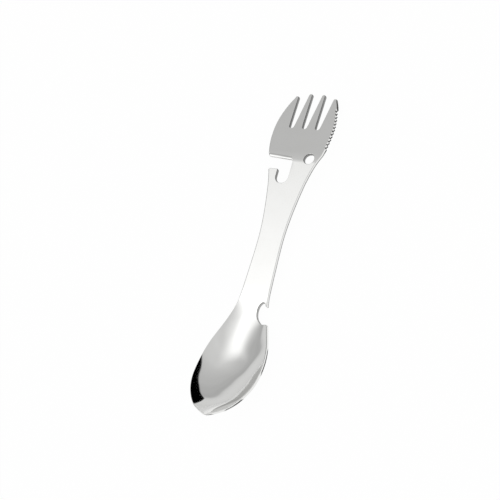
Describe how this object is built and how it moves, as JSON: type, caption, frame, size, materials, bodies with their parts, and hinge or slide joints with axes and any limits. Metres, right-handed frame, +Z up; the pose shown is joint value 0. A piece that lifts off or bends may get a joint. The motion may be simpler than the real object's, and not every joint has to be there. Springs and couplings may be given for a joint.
{
  "type": "camping spork",
  "caption": "One-piece stainless camping spork: spoon bowl at one end, bent fork head with a serrated edge, bottle opener, can opener and lanyard hole.",
  "frame": {"origin": "on the table under the middle of the object's length and width, as it rests hollow side up on the bowl's underside and the tips of the tines", "axes": "+Y from the bowl's tip to the fork's tips, +X across towards the serrated edge, +Z up out of the hollow side"},
  "size_m": [0.0346, 0.1702, 0.0161],
  "materials": {
    "polished_stainless": "polished stainless sheet, mirror-like with fine polishing marks"
  },
  "bodies": {
    "root": {"spork": "polished_stainless"}
  },
  "joints": []
}
